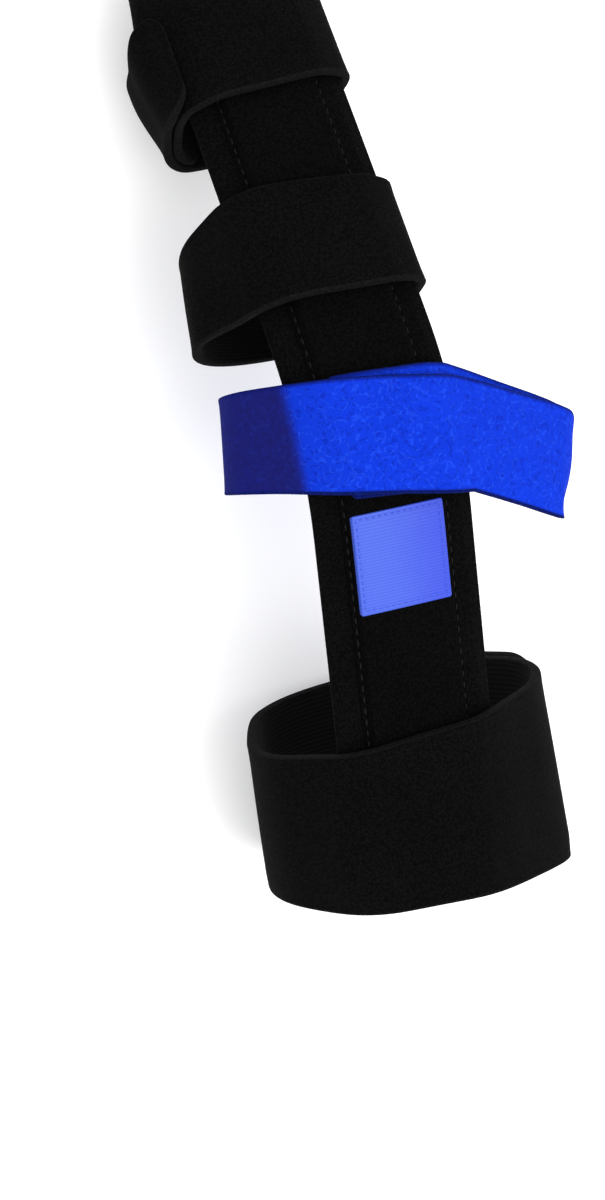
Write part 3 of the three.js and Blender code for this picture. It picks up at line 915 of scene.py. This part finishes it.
def blue_velour(name, width):
    """Blue velour: short pile with darker and paler squiggles where it parts, painted shade in navy where the
    strap faces away from the light, and darker along its cut edges."""
    pile = Finish(name)
    place = pile.place()
    fine = pile.noise(place, size_mm=0.9)
    drift = pile.noise(place, size_mm=9)
    dark = squiggles(pile, place, fine, size_mm=2.6, detail=1.0)
    pale = squiggles(pile, place, fine, size_mm=2.1, detail=0.5)
    ground = pile.blend(drift, VELOUR_DEEP, VELOUR_BRIGHT)
    ground = pile.blend(dark * 0.42, ground, VELOUR_PARTED)
    ground = pile.blend(pale * 0.36, ground, VELOUR_RAISED)
    # Painted shade: navy where the strap faces left, away from the light.
    painted_shade = pile.node("ShaderNodeAttribute", {"attribute_name": "painted_shade"}, output="Fac")
    ground = pile.blend(painted_shade * (0.98 - 0.25 * fine), ground, VELOUR_PAINTED_SHADE)
    colour = pile.blend(near_cut(pile, width) * 0.75, ground, VELOUR_CUT)
    height = pile.spots(place, size_mm=0.6) * -0.4 + fine * 0.5 - dark * 0.2
    return pile.surface(
        Base_Color=colour, Roughness=0.88, Normal=pile.bump(height, depth_mm=0.3), Specular_IOR_Level=0.03,
        Sheen_Weight=0.012, Sheen_Tint=VELOUR_SHEEN)


def satin_label(name):
    """Plain woven label: fine satin ribs both ways, and a painted sheen that makes it a little paler at one
    side.
    """
    satin = Finish(name)
    flat = satin.flat()
    weft = satin.ribs(flat, "X", period_mm=0.7, distortion=0.4)
    warp = satin.ribs(flat, "Y", period_mm=0.55, distortion=0.3)
    cloud = satin.noise(flat, size_mm=7)
    # Painted sheen: paler at one side, fading across the label through a soft cloud.
    sheen_fades = satin.ramp(satin.part_of(flat, "Y") + 4 * MM * cloud, start=-4 * MM, end=14 * MM)
    ground = satin.blend(sheen_fades, SATIN_PAINTED_SHEEN, SATIN_DEEP)
    colour = satin.blend(weft * 0.3, ground, SATIN_RIB)
    height = weft * 0.7 + warp * 0.3
    return satin.surface(
        Base_Color=colour, Roughness=0.42 + 0.15 * weft, Normal=satin.bump(height, depth_mm=0.06),
        Specular_IOR_Level=0.3, Sheen_Weight=0.04)


def thread(name, dark, light, gloss):
    """Sewing thread: strands that are uneven in tone and height along each stitch."""
    yarn = Finish(name)
    strands = yarn.noise(yarn.place(), size_mm=0.25, detail=1)
    return yarn.surface(
        Base_Color=yarn.blend(strands, dark, light), Roughness=0.55, Normal=yarn.bump(strands, depth_mm=0.06),
        Specular_IOR_Level=gloss)


def paper_floor(name):
    """Pale matt studio floor."""
    floor = Finish(name)
    grain = floor.noise(floor.place(), size_mm=40)
    return floor.surface(
        Base_Color=floor.blend(grain, grey(0.93), grey(0.95)), Roughness=0.9, Specular_IOR_Level=0.1,
        Emission_Color=WHITE, Emission_Strength=0.18)


# The splint

BLACK_LOOP = loop_cloth("black_loop_cloth", dark=0.0009, light=0.0042)
BLACK_POCKET = loop_cloth("black_pocket_cloth", dark=0.0007, light=0.0032)
BLACK_LINING = knit_lining("black_lining", dark=grey(0.0025), light=grey(0.0065))
# The paler black cut edge is foam colour and partly a painted highlight, where edges catch the light.
BLACK_EDGE = cut_edge("black_cut_edge", dark=grey(0.002), light=grey(0.006))
BLUE_PILE = blue_velour("blue_velour", PALM.width * MM)
BLUE_EDGE = cut_edge("blue_cut_edge", dark=BLUE_FOAM_DARK, light=BLUE_FOAM_LIGHT)
LABEL_SATIN = satin_label("blue_label_satin")
BLACK_THREAD = thread("black_thread", dark=grey(0.002), light=grey(0.006), gloss=0.1)
BLUE_THREAD = thread("blue_thread", dark=BLUE_YARN_DARK, light=BLUE_YARN_LIGHT, gloss=0.3)
BLACK_LAMINATE = [BLACK_LOOP, BLACK_EDGE, BLACK_LINING]
BLUE_LAMINATE = [BLUE_PILE, BLUE_EDGE, BLUE_PILE]


def make_panel(panel, slot, finishes):
    """Panel's cloth, in the place of its node."""
    name = f"{panel.name}_cloth"
    return piece(name, tube_mesh(name, *panel_grid(panel), finishes), slot, panel.name)


def make_seam(name, slot, panel, inset, stitch, finish):
    """Stitches round a panel, that far inside its outline."""
    line = seam_line(panel, inset, stitch.pitch)
    return piece(name, stitches(name, line, stitch, finish), slot)


def make_wrap(wrap, slot, finishes):
    """Wrap's cloth, in the place of its node."""
    name = f"{wrap.name}_cloth"
    course = course_of(wrap)
    points, flat, part, painted_shade = band(wrap, course)
    made = piece(name, tube_mesh(name, points, flat, part, finishes, painted_shade), slot, wrap.name)
    cut = cut_area(wrap, course.total) * MM * MM
    wrap.width * MM
    course.total * MM


make_panel(STRIP, "strip_cloth", [BLACK_LOOP, BLACK_LINING])
make_panel(POCKET, "pocket_cloth", [BLACK_POCKET, BLACK_LINING])
label = make_panel(LABEL, "label_weave", [LABEL_SATIN, BLACK_LINING])
make_seam("pocket_stitching", "pocket_cloth", POCKET, HEM_SEAM, POCKET_STITCH, BLACK_THREAD)
label_seam = make_seam("label_stitching", "label_weave", LABEL, LABEL_SEAM, LABEL_STITCH, BLUE_THREAD)
make_wrap(WRIST, "wrap_loop", BLACK_LAMINATE)
make_wrap(PALM, "palm_velour", BLUE_LAMINATE)
make_wrap(FINGER, "wrap_loop", BLACK_LAMINATE)
make_wrap(TIP, "wrap_loop", BLACK_LAMINATE)


# Camera, floor and lights

def photo_camera():
    """Camera at the photograph's angle. Its axes were found with the strip at another rise, about its top
    face at the bend, so they are turned back by the difference and set off from that point."""
    turn, roll, found_rise = (math.radians(angle) for angle in (CAMERA_TURN, CAMERA_ROLL, CAMERA_RISE))
    level = np.array([math.cos(turn), 0, math.sin(turn)])
    back = np.array([-math.sin(turn), 0, math.cos(turn)])
    ahead = np.array([0, 1, 0])
    right = math.cos(roll) * level - math.sin(roll) * ahead
    up = math.sin(roll) * level + math.cos(roll) * ahead
    y, z = tipped(*on_strip(np.float64(BEND_STATION), STRIP_THICK), found_rise)
    place = CAMERA_RIGHT * right + CAMERA_UP * up + CAMERA_AWAY * back + np.array([0, y, z])
    turned = Matrix.Rotation(RISE - found_rise, 3, "X")
    place = turned @ Vector(place) + Vector(PLACE)
    axes = turned @ Matrix((right, up, back)).transposed()
    data = bpy.data.cameras.new("photo_camera")
    data.sensor_fit = "VERTICAL"
    data.sensor_height = SENSOR_HEIGHT
    data.lens = FOCAL_PX / PHOTO_HEIGHT_PX * SENSOR_HEIGHT
    camera = bpy.data.objects.new("photo_camera", data)
    camera.matrix_world = Matrix.Translation(place * MM) @ axes.to_4x4()
    bpy.context.scene.collection.objects.link(camera)
    bpy.context.scene.camera = camera


def soft_box(name, place, size, watts):
    """Square area light that faces the splint."""
    data = bpy.data.lights.new(name, "AREA")
    data.size = size
    data.energy = watts
    light = bpy.data.objects.new(name, data)
    light.location = place
    light.rotation_euler = (Vector(LIGHTS_AIM) - Vector(place)).to_track_quat("-Z", "Y").to_euler()
    bpy.context.scene.collection.objects.link(light)


def studio_floor():
    """Pale square floor just under the wraps."""
    corners = ((-1, -1), (1, -1), (1, 1), (-1, 1))
    mesh = bpy.data.meshes.new("floor")
    mesh.from_pydata([(x * FLOOR_HALF, y * FLOOR_HALF, FLOOR_HEIGHT) for x, y in corners], [], [(0, 1, 2, 3)])
    mesh.materials.append(paper_floor("paper_floor"))
    floor = bpy.data.objects.new("floor", mesh)
    bpy.context.scene.collection.objects.link(floor)


def studio_light():
    """A large soft light from the right, a larger one from above, and even light all round."""
    soft_box("key_light", place=(0.35, -0.35, 1.15), size=1.2, watts=13)
    soft_box("top_light", place=(-0.35, 0.2, 1.4), size=2.0, watts=8)
    world = bpy.data.worlds.new("studio_air")
    world.use_nodes = True
    sky = world.node_tree.nodes["Background"]
    sky.inputs["Color"].default_value = WHITE
    sky.inputs["Strength"].default_value = 1.0
    bpy.context.scene.world = world
    bpy.context.scene.view_settings.view_transform = "Standard"
    bpy.context.scene.view_settings.look = "None"


photo_camera()
studio_floor()
studio_light()
